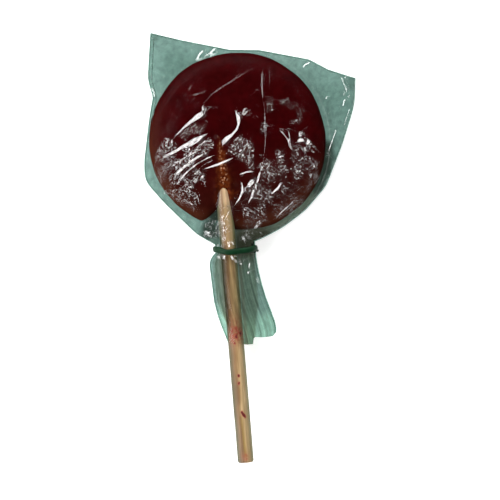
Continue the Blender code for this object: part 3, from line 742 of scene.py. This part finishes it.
# %% The creases
CREASES = (
    # The two blades at the left, the forked one in the middle and the spot beside it.
    (((206.5, 110), (202.8, 114.6), (197, 118.8), (190.2, 123.8), (184.5, 128.6), (178.5, 134.8), (172, 141)),
     (7.0, 6.2, 4.2, 2.8, 1.5, 0.8, 0.5)),
    (((202.7, 106.6), (203.9, 112.5), (206.6, 119.4)), (0.8, 2.4, 0.6)),
    (((211.3, 132.9), (203.6, 136.9), (195.2, 142.3), (190, 144.9), (184.5, 147.3), (176.8, 151.5),
      (170.7, 154.8), (165.3, 157.6), (160.4, 163)), (1.2, 2.6, 5.8, 5.8, 4.2, 2.8, 2.6, 2.8, 1.2)),
    (((234.7, 108.9), (236.4, 114), (238.3, 118.3), (239, 124), (236.9, 130.5), (231.8, 136.2),
      (226.8, 139.8), (223.2, 144.1), (221.8, 149.1)), (1.0, 3.0, 4.4, 2.4, 2.2, 2.6, 4.6, 5.6, 2.8)),
    (((243.3, 116.8), (245.5, 111.1), (246.9, 109.7)), (2.5, 4.0, 2.5), 0.97),
    # Long fine lines over the upper half.
    (((202, 111), (207.4, 99.6), (214.6, 93.9), (224.7, 87.4), (237.6, 78.8), (250.5, 70.9), (262, 66.6)),
     (1.0, 0.9, 1.3, 0.8, 0.8), 0.63),
    (((193, 96.7), (200, 94.5), (208, 91.8)), (1.1,), 0.74), (((189, 92), (192.2, 85.7)), (1.1,), 0.72),
    (((260, 164), (262, 174)), (1.0,), 0.8), (((262.2, 72), (261.7, 85.3), (262.6, 101)), (0.9,), 0.82),
    (((262, 73), (261.7, 85.3), (262.3, 93.9), (263.7, 105.4), (264.6, 116.8), (265.6, 134.1), (264.8, 147),
      (263.7, 159.9), (262.7, 168.5)), (1.2, 1.1, 0.8, 0.9, 1.0, 1.2, 1.0, 0.8), 0.73),
    (((264.4, 124), (265, 131), (265.6, 137)), (1.6,), 0.93),
    (((268.4, 70.4), (269.9, 82.4), (268, 94)), (0.9,), 0.74), (((253.8, 89), (263, 94.5)), (1.0,), 0.76),
    # The fork and the bent spot at the right.
    (((277.5, 130.6), (281, 132.6), (284.5, 136.5), (287.8, 141.2), (289.9, 147), (291.4, 152)),
     (2.6, 2.4, 1.4, 1.6, 3.0, 2.0)),
    (((283, 131.5), (288.5, 131.9), (289.2, 139.8), (289.9, 147)), (1.2, 1.4, 1.2), 0.97),
    (((292, 146.4), (298, 142.4), (303.5, 139.4), (305.5, 138.4)), (1.4, 2.6, 5.0, 4.0)),
    (((304.6, 146.4), (309.0, 139.8)), (5.0,)), (((308.6, 150), (312.4, 144)), (4.4,)),
    (((311.2, 153.4), (314.2, 148.4)), (3.0,)), (((298.6, 137.6), (302.6, 132.4)), (2.6,)),
    (((298.4, 133.8), (301, 137)), (2.4,)), (((304.6, 147.6), (307, 153)), (3.4,)),
    (((306.5, 161.3), (310.8, 162.7), (314.3, 166.3), (312.2, 169.9)), (1.5,)),
    (((309.3, 175.7), (315.8, 174.9)), (2.2,)),
    # Streaks at the lower left.
    (((208, 153.5), (197.4, 158.4), (187.3, 165.6), (178.7, 172.8), (172.5, 180)), (1.4, 3.0, 2.2, 3.4, 1.8)),
    (((217.5, 154.9), (207.4, 159.2), (197.4, 164.9), (188.8, 171.4), (181.6, 179.3), (175.2, 188.6)),
     (1.2, 2.0, 1.4, 1.8, 1.2)),
    (((236.5, 157.5), (226.1, 162), (217.5, 165.6), (208.9, 168.5), (200.3, 171.4), (193.1, 175.7)),
     (1.2, 2.4, 2.6, 1.6, 1.8)),
    (((205, 148.5), (193, 154.5), (183, 160.5), (172, 167)), (1.0, 1.6, 1.0), 0.92),
    (((209, 141), (197, 147.5)), (1.3,), 0.9), (((215, 160), (205, 165.5), (196, 171.5)), (1.0,), 0.93),
    (((199, 178.5), (194, 181), (197.5, 184.5)), (3.2, 2.6)), (((206, 176), (201, 178)), (2.0,)),
    (((183, 198), (189, 203), (196, 206)), (1.4,), 0.97),
    # Below the middle and at the lower right.
    (((239, 175.7), (246.2, 172.8), (254.8, 172.1)), (1.5,)),
    (((240.4, 180.7), (242.2, 185.7), (242.6, 191.5), (239.7, 198.6), (234.7, 205.8)), (1.4, 2.2, 2.0, 1.2)),
    (((247.6, 187.6), (250.5, 184.3), (253.4, 179.6)), (3.0, 5.0, 2.8)),
    (((260.5, 169.2), (259.1, 175.7), (256.9, 182.8), (254.8, 191.5), (250.5, 201.5)), (2.0, 2.4, 1.6, 1.2)),
    (((253.4, 190), (251.2, 197.2), (248.3, 203.6)), (1.5,)),
    (((245.5, 207.2), (250.5, 210.8), (257.7, 214.4)), (2.0, 2.6, 1.6)),
    (((260.2, 220), (257.7, 225.2), (253.4, 229.5)), (2.8, 2.4, 1.4)),
    (((281.3, 182.8), (277.8, 188.6), (270.8, 194.6)), (1.8, 2.8, 1.8)),
    (((280.6, 189.3), (283.5, 195)), (1.1,), 0.95),
    (((295.7, 198.6), (290.7, 204.4), (283.5, 210.1), (274.9, 218.7)), (1.4,), 0.96),
    # Beside the neck, over the stick and just below the elastic.
    (((204.5, 231), (208, 233.4), (212.3, 235.6)), (2.4, 3.4, 2.0)), (((217.6, 220.5), (216, 226)), (3.0,)),
    (((213.5, 225.5), (217.5, 228.5)), (1.6,)), (((214, 231.3), (221, 233)), (1.4,)),
    (((242.4, 239.4), (245.4, 238)), (2.8,)), (((221.5, 231.5), (225.5, 230), (230, 228)), (1.2,)),
    (((228.3, 241), (229.5, 248)), (2.2,)), (((231.5, 240.5), (234.9, 247)), (1.5,)),
    (((217.5, 244.5), (221, 248)), (1.6,)), (((222, 236), (226, 241)), (1.1,), 0.95),
    (((225, 214), (221.5, 220), (226, 227)), (0.9,), 0.95),
    (((230, 210), (226, 218), (231, 224)), (0.9,), 0.95),
    (((230.6, 254.4), (233.4, 259), (236.6, 261.4), (243.0, 262.4)), (2.6, 3.2, 3.0, 2.8)),
    (((239.6, 260), (241.6, 265.6)), (2.0,)), (((249.6, 261.8), (249, 268.8)), (1.2,)),
    (((222.8, 258.6), (225.6, 255.6)), (1.0,)), (((218.4, 258), (219.8, 256.4)), (0.9,)),
    (((247.8, 271.5), (248.9, 273.8)), (1.8,)), (((256.5, 276.5), (258.5, 284)), (1.2,), 0.95),
    # The two flat corners of the bag.
    (((196.4, 61.6), (199.5, 55.9), (203.6, 50.4)), (2.0, 3.0, 2.4)),
    (((208.9, 57), (211.7, 53), (216, 48.7)), (2.4, 3.0)), (((204, 58.2), (212, 55)), (1.4,), 0.97),
    (((152.9, 85.3), (158.7, 82.4), (164.4, 78.1), (170.1, 73.8)), (0.9,), 0.9),
    (((150.8, 87.6), (152.9, 93.2), (154.6, 99)), (1.6, 2.4, 1.6)),
    (((302.1, 68), (305.7, 65.2), (310.5, 62.8)), (2.2,)), (((325.4, 97.5), (326.4, 100)), (2.0,)),
    (((325.8, 101), (328, 114), (332.3, 131.2)), (0.9,), 0.9),
    (((340.2, 76.7), (345.2, 88.1), (346.6, 93.9)), (1.5,)), (((343.8, 99.6), (342.3, 108.2)), (1.5,)),
    (((352, 84), (351.6, 102.5), (340.9, 134.1)), (1.0,), 0.92),
    (((337.3, 125.4), (332, 141), (326, 158.4)), (1.2,), 0.97),
)
rise, shine = np.zeros_like(front_z), np.zeros_like(front_z)
for pixels, *widths_and_brightness in CREASES:
    height, bright = crease(at(*pixels), *widths_and_brightness)
    rise += height
    shine = np.maximum(shine, bright)
print(len(CREASES), "creases stand up to", rise.max().round(2), "mm")

# %% [markdown]
# Between the creases the film is crumpled. Crumpled film is many small flat facets with sharp
# folds between them. A net of triangles with a random height at each corner gives just that, as
# the film is flat between three corners. The net is bent by a soft noise, so that no two facets
# are alike, and stretched along the way the film is pulled. Each crumpled patch is a soft oval.

# %% The crumpled patches
def facets(x, y, cell, seed):
    """-1 to 1: random heights at the corners of a bent net of triangles, and flat between three corners."""
    bent_x = x + 0.45 * cell * soft_noise(x + 17, y + 31, 1.6 * cell, seed + 500)
    bent_y = y + 0.45 * cell * soft_noise(x + 53, y + 71, 1.6 * cell, seed + 600)
    here, right, above, beyond, a, b = lattice_cell(bent_x, bent_y, cell, seed)
    near = here + a * (right - here) + b * (above - here)
    far = beyond + (1 - a) * (above - beyond) + (1 - b) * (right - beyond)
    return np.where(a + b < 1, near, far)


# Middle and radii in pixels, the turn of the long axis in degrees, stretch, roughness (height over
# cell) and cell in mm.
PATCHES = (
    ((188, 155), (32, 11), 33, 2.0, 0.46, 0.60), ((178, 171), (26, 13), 36, 2.2, 0.48, 0.60),
    ((191, 134), (26, 9), 33, 1.4, 0.25, 0.40), ((205, 150), (12, 10), 33, 1.4, 0.50, 0.55),
    ((197, 180), (15, 9), 25, 1.3, 0.54, 0.65), ((184, 197), (24, 10), -32, 1.4, 0.42, 0.62),
    ((164, 164), (15, 10), 75, 1.4, 0.26, 0.50), ((245, 149), (20, 11), 95, 1.1, 0.60, 0.42),
    ((264, 130), (8, 5), 95, 1.2, 0.50, 0.42), ((298, 158), (15, 10), 105, 1.4, 0.42, 0.65),
    ((270, 166), (20, 13), 60, 1.3, 0.50, 0.55), ((283, 182), (28, 14), 38, 1.8, 0.42, 0.65),
    ((304, 178), (20, 14), 60, 1.3, 0.42, 0.60), ((252, 198), (22, 14), 78, 1.8, 0.42, 0.65),
    ((262, 215), (26, 12), 25, 1.5, 0.36, 0.65), ((290, 203), (24, 11), 45, 1.8, 0.32, 0.65),
    ((311, 166), (12, 8), 110, 1.3, 0.50, 0.60), ((284, 112), (28, 15), -10, 1.1, 0.22, 0.36),
    ((171, 134), (17, 13), 50, 1.2, 0.11, 0.36), ((212, 229), (15, 11), -30, 1.2, 0.20, 0.90),
    ((176, 186), (30, 14), -48, 1.2, 0.34, 0.50), ((168, 150), (16, 12), 60, 1.2, 0.26, 0.45),
    ((266, 186), (44, 26), 40, 1.2, 0.18, 0.50), ((290, 168), (30, 20), 80, 1.1, 0.17, 0.50),
    ((249, 234), (14, 10), 20, 1.2, 0.20, 0.90), ((199, 50), (14, 5), -12, 1.2, 0.34, 0.60),
    ((346, 92), (26, 4), 90, 1.4, 0.34, 0.80), ((228, 224), (24, 9), 95, 1.6, 0.28, 0.80),
    ((232, 120), (72, 60), 0, 1.0, 0.10, 0.60), ((242, 158), (18, 15), 95, 1.1, 0.32, 0.42),
)
crumple = np.zeros_like(front_z)
crinkle = np.zeros_like(front_z)
for k, (middle, radii, turned, stretch, roughness, cell) in enumerate(PATCHES):
    (mx, my), = at(middle)
    lean = math.radians(turned) - CAMERA_ROLL
    along = (front_x - mx) * math.cos(lean) + (front_y - my) * math.sin(lean)
    beside = -(front_x - mx) * math.sin(lean) + (front_y - my) * math.cos(lean)
    inside = np.hypot(along / radii[0], beside / radii[1]) * PIXELS_PER_MM
    weight = smooth(1.2, 0.6, inside + 0.25 * soft_noise(front_x + 70, front_y + 60, 2.2, 201 + k))
    calm = smooth(-0.55, 0.35, soft_noise(front_x + 30, front_y + 80, 2.4, 231 + k))
    folds = (0.6 * facets(along / stretch + 40, beside + 40, cell, 31 + k)
             + 0.75 * soft_noise(along / (0.7 + 0.3 * stretch) + 60, beside + 60, 0.75 * cell, 61 + k))
    crumple += weight * (0.35 + 0.65 * calm) * roughness * cell * folds
    crinkle = np.maximum(crinkle, weight * (0.3 + 0.7 * calm) * min(roughness / 0.3, 1.0))
slack = (0.10 * soft_noise(front_x + 50, front_y + 90, 7.0, 91)
         + 0.03 * soft_noise(front_x + 50, front_y + 90, 2.6, 92))
# A crease is pulled tight, so the crumple stays off it.
loose = 1 - 0.85 * np.clip(1.3 * shine, 0, 1)
front_z = front_z + edge_room * (rise + loose * crumple + slack)
crumpled = smooth(0.20, 1.0, crinkle)
crinkle = np.clip(crinkle, 0, 1) * loose
# Near the rim the film leans to the light anyway, and would turn all white.
rim_calm = 1 - 0.6 * smooth(0.74, 0.88, np.hypot(front_x, front_y) / CANDY_RADIUS)
shine = np.maximum(shine, crumpled * rim_calm)

# %% [markdown]
# Below the elastic the film hangs in pleats that open towards the hem. They are waves across the
# rows, whose phase wanders on the way down. The hem itself was cut by hand: it has a lobe at the
# right and a short strip of the back sheet that hangs lower.

# %% Pleats and the hem
PLEATS = 6.5
PLEAT_HEIGHT = 0.07


def pleat(share, named, seed):
    """A wave across the sheet that fades in below the elastic and wanders on its way to the hem."""
    wander = soft_noise(share * 3 + 5, named * 0.06 + 50, 1.0, seed)
    wave = PLEAT_HEIGHT * np.sin(2 * math.pi * (PLEATS * share + 0.5 * wander))
    return wave * smooth(-35.0, -39.0, named) * smooth(0.0, 0.12, share) * smooth(1.0, 0.88, share)


FRONT_HEM = np.array([(0.0, 0.33), (0.24, -0.3), (0.39, -0.9), (0.51, -1.1), (0.535, 0.7), (0.57, 0.95),
                      (0.76, 0.35), (0.93, 0.22), (0.97, 0.55), (1.0, 1.1)])
BACK_HEM = np.array([(0.0, 0.33), (0.24, -0.37), (0.39, -0.95), (0.505, -1.15), (0.54, 0.6), (0.57, 0.85),
                     (0.76, 0.30), (0.93, 0.15), (0.97, 0.5), (1.0, 1.1)])


def hem(share, named, shape):
    """How far the cut edge is moved along Y, blended in over the last stretch of the skirt."""
    return np.interp(share, *shape.T) * smooth(-56.0, -62.9, named)


front_z = front_z + pleat(front_share, front_named, 101)
front_y = front_y + hem(front_share, front_named, FRONT_HEM)
back_z = back_z + pleat(back_share, back_named, 102)
back_y = back_y + hem(back_share, back_named, BACK_HEM)

# %% [markdown]
# The film's finish is a thin clear sheet: most light goes straight through it, tinted, and the
# rest is mirrored. The mirrored share is that of plastic film, and grows towards the edge of each
# round. Where the film clings to the candy it mirrors less, so each point carries its share of
# shine. Crumpled film also breaks its mirror up into glints and scatters a little light as a veil.
#
# The back sheet has the pale green that shows where nothing lies between the sheets. At the neck
# and in the skirt both sheets share the tint, because there one also looks through the front
# sheet alone, from the side.

# %% The film's finish
FRONT_TINT = (0.985, 1.0, 0.99)
MIRRORED = 0.20
PLAIN_SHINE, CLINGING_SHINE = 0.25, 0.08
VEIL = 0.042
# The back sheet's tints, with the middle and reach of each area in pixels: where it lies flat, at the
# two corners, painted shade at the lower right, painted shadow where the disc's edge or the stick
# shades it, where the neck gathers it, and near the hem.
BACK_TINT_AND_SHADE_AREAS = (
    ((0.165, 0.270, 0.238), (((168, 62), 24), ((148, 130), 30), ((165, 200), 22), ((190, 224), 16),
                             ((304, 68), 18), ((338, 98), 20), ((335, 130), 14), ((213, 285), 16),
                             ((250, 290), 18), ((268, 300), 12), ((213, 244), 7), ((339, 150), 8),
                             ((336, 166), 6), ((329, 184), 5))),
    ((0.112, 0.190, 0.163), (((154, 37), 8), ((351, 84), 9))),
    ((0.100, 0.132, 0.100), (((300, 208), 12), ((280, 226), 12))),
    ((0.030, 0.046, 0.036), (((325, 150), 10), ((324, 164), 10), ((318, 180), 9), ((211, 230), 11),
                             ((218, 215), 10))),
    ((0.062, 0.065, 0.045), (((248, 241), 10), ((258, 236), 10))),
    ((0.245, 0.420, 0.345), (((225, 325), 11), ((271, 326), 13), ((250, 335), 8))),
)
NECK_TINT = np.array([0.50, 0.54, 0.48])
SHARED_TINT = np.array([0.45, 0.57, 0.54])


film_finish, tree = new_material("clear film")
specks = tree.ramp(tree.noise(650.0, 3.0), 0.3, 0.7, 0.90, 1.07)
# The film's tint per point also holds painted shade.
tinted_and_shaded = tree.add("VectorMath", {"operation": "SCALE"}, _0=tree.own("film_tint", "Color"), Scale=specks)
through = tree.add("BsdfTransparent", Color=tinted_and_shaded)
crinkled = tree.own("crinkle")
crinkles = tree.bump(tree.noise(2000.0, 2.0), crinkled, 0.00023)
mirror = tree.add("BsdfGlossy", Color=(1, 1, 1), Roughness=0.09, Normal=crinkles)
grazing = tree.two("POWER", tree.add("LayerWeight").outputs["Facing"], 5.0)
mirrored = tree.two("MULTIPLY", tree.ramp(grazing, 0.0, 1.0, MIRRORED, 0.9), tree.own("shine"))
# Crumpled film glints in specks, so there a fine noise breaks the mirrored share up.
sparks = tree.ramp(tree.noise(1400.0, 2.0), 0.43, 0.60, -0.93, 0.9)
broken = tree.two("MULTIPLY_ADD", sparks, crinkled)
broken.node.inputs[2].default_value = 1.0
glinting = tree.two("MULTIPLY", mirrored, broken, use_clamp=True)
film = tree.add("MixShader", _0=glinting, _1=through, _2=mirror)
# Crumpled film also scatters a little light every way, in fine specks.
frosted = tree.add("BsdfDiffuse", Color=(0.92, 0.70, 0.64))
fine_specks = tree.ramp(tree.noise(1700.0, 1.0), 0.40, 0.68, 0.35, 2.4)
scattered = tree.two("MULTIPLY", tree.own("veil"), fine_specks)
tree.finish(tree.add("MixShader", _0=scattered, _1=film, _2=frosted))


def sheet_piece(name, x, y, z, tint, crinkle, shine, veil, faces_up):
    """A sheet's mesh from its grid, with its tint and painted shade, its crinkled share, its shine and its
    veil per point.
    """
    points = np.column_stack([x.ravel(), y.ravel(), z.ravel()])
    faces = grid_faces(*x.shape)
    make_piece(name, points, [faces[:, ::-1] if faces_up else faces], film_finish, "film", "wrapper",
               film_tint=tint.reshape(-1, 3), crinkle=crinkle.ravel(), shine=shine.ravel(), veil=veil.ravel())


# The film is made as two lengths that meet under the elastic, so that each mesh stays light.
JOIN_Y = -33.6
JOIN_ROW = int(np.argmin(np.abs(front_named[:, 0] - JOIN_Y)))
# The gathered skirt is darker round the stick: partly more layers of film, partly painted shade.
GATHERED_LEFT = at((219, 250), (214.5, 262), (214.5, 275), (217, 300), (223, 315), (230, 330))
GATHERED_RIGHT = at((252, 250), (254.5, 262), (256.3, 278), (258.6, 304), (256.3, 319), (254.7, 340))
LEFT_TINT = np.array([0.60, 0.58, 0.50])
OVER_STICK_TINT = np.array([0.90, 0.90, 0.87])
RIGHT_TINT = np.array([0.60, 0.57, 0.50])
STICK_SIDE_SHADE_TINT = np.array([0.05, 0.24, 0.26])
skirt = smooth(-33.0, -35.5, front_named)[..., None]
left_line = np.interp(-front_y, -GATHERED_LEFT[:, 1], GATHERED_LEFT[:, 0])
right_line = np.interp(-front_y, -GATHERED_RIGHT[:, 1], GATHERED_RIGHT[:, 0])
beside_stick = (front_x - STICK_X)[..., None]
layers_and_shade_tint = LEFT_TINT + (OVER_STICK_TINT - LEFT_TINT) * smooth(-1.8, -1.0, beside_stick)
layers_and_shade_tint = layers_and_shade_tint + (RIGHT_TINT - OVER_STICK_TINT) * smooth(2.2, 3.0, beside_stick)
# Painted brownish shade on the film beside the stick, at both its sides.
stick_side_shade = np.exp(-((np.abs(beside_stick - 0.3) - 2.9) / 0.7) ** 2)
layers_and_shade_tint = layers_and_shade_tint * (1 - stick_side_shade * STICK_SIDE_SHADE_TINT)
between_lines = smooth(-0.5, 0.5, front_x - left_line) * smooth(0.5, -0.5, front_x - right_line)
gathered = skirt * between_lines[..., None]
broad_streaks = soft_noise(front_share * 30 + 9, front_named * 0.05 + 50, 1.0, 103)[..., None]
fine_streaks = soft_noise(front_share * 66 + 9, front_named * 0.08 + 50, 1.0, 104)[..., None]
streaks = 1 + 0.26 * (broad_streaks + 0.8 * fine_streaks) * skirt
at_neck = smooth(-27.0, -31.5, front_named)[..., None] * (1 - skirt) * smooth(2.3, 3.0, np.abs(beside_stick))
front_tint_and_shade = np.array(FRONT_TINT) * (1 - gathered * (1 - layers_and_shade_tint)) * (1 - at_neck * (1 - NECK_TINT))


def shared(x, named):
    """The tint that the front sheet takes over from the back one beside the stick, from the neck down."""
    beside = smooth(-27.0, -31.5, named) * smooth(2.3, 3.0, np.abs(x - STICK_X))
    return 1 - beside[..., None] * (1 - SHARED_TINT)


front_tint_and_shade = np.minimum(front_tint_and_shade * streaks * shared(front_x, front_named), 1.0)
# Where the sheets bend over the disc's shoulder and down to the table, nothing shiny shows.
out_from_middle = np.hypot(front_x, front_y)
part_out = out_from_middle / CANDY_RADIUS
over_disc = smooth(CANDY_RADIUS + 2.5, CANDY_RADIUS + 1.0, out_from_middle)
base_shine = PLAIN_SHINE + (CLINGING_SHINE - PLAIN_SHINE) * np.maximum(over_disc, 1.2 * skirt[..., 0])
base_shine *= 1 - 0.9 * smooth(0.76, 0.84, part_out) * smooth(1.30, 1.18, part_out)
front_shine = base_shine + (1 - base_shine) * np.clip(shine, 0, 1)
front_veil = VEIL * smooth(0.34, 1.0, crinkle) * np.maximum(over_disc, 0.2)
front_veil *= 1 - 0.80 * smooth(0.72, 0.88, part_out)
front_sheet = (front_x, front_y, front_z, front_tint_and_shade, crinkle ** 0.6, front_shine, front_veil)
for name, rows in (("film-front", slice(0, JOIN_ROW + 1)), ("skirt-front", slice(JOIN_ROW, None))):
    sheet_piece(name, *(grid[rows] for grid in front_sheet), faces_up=True)
# The back sheet's tints, painted shade and shadow among them, blended by nearness to each area.
total, back_tint_and_shade = np.zeros_like(back_x), np.zeros((*back_x.shape, 3))
for tint, areas in BACK_TINT_AND_SHADE_AREAS:
    for middle, reach in areas:
        (mx, my), = at(middle)
        near = (reach / PIXELS_PER_MM / np.maximum(np.hypot(back_x - mx, back_y - my), 0.5)) ** 4
        total += near
        back_tint_and_shade += near[..., None] * np.array(tint)
back_tint_and_shade /= total[..., None] * shared(back_x, back_named)
plain = 0 * back_x
sheet_piece("film-back", back_x, back_y, back_z, back_tint_and_shade, 0.2 + plain, CLINGING_SHINE + plain, plain, False)

# %% [markdown]
# ## The seam
# Where the two sheets are welded, the film melts into a thin bead. It is a fine tube carried
# along the whole outline, and it shows as the dark line round the bag.

# %% The seam bead
BEAD_RADIUS, BEAD_SIDES = 0.20, 8
ROLLED_EXTRA, INNER_BEAD_RADIUS = 0.09, 0.12


def tube(path, radius, sides, closed=False, level=(0.0, 0.0, 1.0), flatness=1.0):
    """Points and faces of a tube along a path: ellipses round it, radius along level, a point on each end."""
    ahead = np.roll(path, -1, 0) - np.roll(path, 1, 0) if closed else np.gradient(path, axis=0)
    ahead = ahead / np.linalg.norm(ahead, axis=1, keepdims=True)
    up = np.array(level) - ahead * (ahead @ np.array(level))[:, None]
    up = up / np.linalg.norm(up, axis=1, keepdims=True)
    across = np.cross(ahead, up)
    turn = np.linspace(0, 2 * math.pi, sides, endpoint=False)
    ring = up[:, None] * np.cos(turn)[:, None] + flatness * across[:, None] * np.sin(turn)[:, None]
    radius = np.broadcast_to(radius, len(path))[:, None, None]
    rings = (path[:, None] + radius * ring).reshape(-1, 3)
    if not closed:
        return closed_rings(rings, sides, path[0], path[-1])
    corner, last_ring = np.arange(sides), len(rings) - sides
    beside = (corner + 1) % sides
    closing = np.stack([last_ring + corner, last_ring + beside, beside, corner], -1)
    return rings, [grid_faces(len(path), sides, around=True), closing]


def put_together(parts):
    """Points and faces of several closed forms as those of one mesh."""
    starts = np.cumsum([0] + [len(points) for points, _ in parts])
    return (np.concatenate([points for points, _ in parts]),
            [group + start for (_, faces), start in zip(parts, starts) for group in faces])


def front_line(rows, columns):
    """The places along one line of the front sheet's grid."""
    return np.column_stack([grid[rows, columns] for grid in (front_x, front_y, front_z)])


bead_path = np.concatenate([front_line(slice(None, None, -1), 0), front_line(0, slice(1, None)),
                            front_line(slice(1, None), -1)])
# At the lower right the seam is rolled over on itself, so its bead is thicker there.
rolled = (bead_path[:, 0] > -5) * smooth(-5.0, -14.0, bead_path[:, 1])
outer_bead = tube(bead_path, BEAD_RADIUS + ROLLED_EXTRA * rolled, BEAD_SIDES)
# Along the top left corner the weld is a strip, with a second fine bead at its inner edge.
inner_bead = tube(front_line(slice(3, 92), 5), INNER_BEAD_RADIUS, BEAD_SIDES)
weld, tree = new_material("welded film")
weld_tint = tree.blend(tree.noise(500.0, 2.0), (0.30, 0.46, 0.41), (0.62, 0.78, 0.72))
weld_gloss = tree.add("BsdfGlossy", Color=(1, 1, 1), Roughness=0.12)
tree.finish(tree.add("MixShader", Fac=0.12, _1=tree.add("BsdfTransparent", Color=weld_tint), _2=weld_gloss))
make_piece("seam", *put_together([outer_bead, inner_bead]), weld, "film")

# %% [markdown]
# ## The elastic
# A flat green elastic is stretched round the neck and knotted at the right. It lies on the
# gathered film, so its path is the same taut loop round the three rounds, a little farther out.

# %% The elastic
BAND_Y, BAND_SLANT, BAND_SAG = -33.5, -0.05, -1.15
BAND_HALF_WIDTH, BAND_HALF_THICKNESS = 0.90, 0.42


def neck_loop(grown, count):
    """The taut loop round the three rounds, seen along the stick, at even steps."""
    fine_turn = np.linspace(0, 2 * math.pi, 721)
    facing = np.column_stack([np.cos(fine_turn), np.sin(fine_turn)])
    _, left_x, left_r, right_x, right_r, fold_z, _ = NECK[4]
    centres = np.array([(STICK_X, STICK_Z), (left_x + left_r, fold_z), (right_x - right_r, fold_z)])
    radii = np.array([SLEEVE_RADIUS, left_r, right_r]) + grown
    touched = np.argmax(facing @ centres.T + radii, axis=1)
    loop = centres[touched] + radii[touched, None] * facing
    done = lengths_along(loop)
    steps = np.linspace(0, done[-1], count, endpoint=False)
    return read_off(steps, done, loop), steps / done[-1]


elastic, tree = new_material("green elastic")
rub = tree.noise(900.0, 3.0)
green = tree.blend(rub, (0.0010, 0.018, 0.006), (0.003, 0.048, 0.014))
tree.finish(tree.add("BsdfPrincipled", Base_Color=green, Normal=tree.bump(rub, 0.4, 0.0001), Roughness=0.5,
                     Specular_IOR_Level=0.2))

loop, share = neck_loop(0.10 + BAND_HALF_THICKNESS, 240)
mid_x = (loop[:, 0].min() + loop[:, 0].max()) / 2
sag = BAND_SAG * np.clip(np.abs(loop[:, 1] - STICK_Z) / (SLEEVE_RADIUS + 0.7), 0, 1) ** 3
loop_y = BAND_Y + BAND_SLANT * (loop[:, 0] - mid_x) + sag
strip_path = np.column_stack([loop[:, 0], loop_y + 0.05 * np.sin(6 * math.pi * share), loop[:, 1]])
strip_half = BAND_HALF_WIDTH * (1 + 0.05 * np.sin(10 * math.pi * share))
strip = tube(strip_path, strip_half, 20, closed=True, level=(0.0, 1.0, 0.0),
             flatness=BAND_HALF_THICKNESS / BAND_HALF_WIDTH)

# %% [markdown]
# The knot is a real overhand knot: a trefoil, the closed curve that crosses itself three times,
# and two short cut ends.

# %% The knot
KNOT_Z, KNOT_SIZE, KNOT_RADIUS = 5.4, 0.30, 0.42
KNOT_MIDDLE = np.array([*at((254.2, 248.6))[0], KNOT_Z])
turn = np.linspace(0, 2 * math.pi, 120, endpoint=False)
trefoil = np.column_stack([np.sin(turn) + 2 * np.sin(2 * turn), np.cos(turn) - 2 * np.cos(2 * turn),
                           -np.sin(3 * turn)])
tails = [np.array([[0, 0.2, 0.4], [0.0, 0.7, 0.7], [-0.2, 1.1, 0.6], [-0.4, 1.5, 0.2]]),
         np.array([[0.2, -0.2, 0.2], [0.5, -0.4, 0.0], [0.8, -0.6, -0.4], [1.0, -0.7, -0.9]])]
parts = [strip, tube(KNOT_MIDDLE + KNOT_SIZE * trefoil * (0.8, 1.1, 1.3), KNOT_RADIUS, 12, closed=True)]
for tail in tails:
    parts.append(tube(KNOT_MIDDLE + read_off(np.linspace(0, 3, 16), range(4), tail), KNOT_RADIUS, 10))
make_piece("band", *put_together(parts), elastic, "elastic", "band")
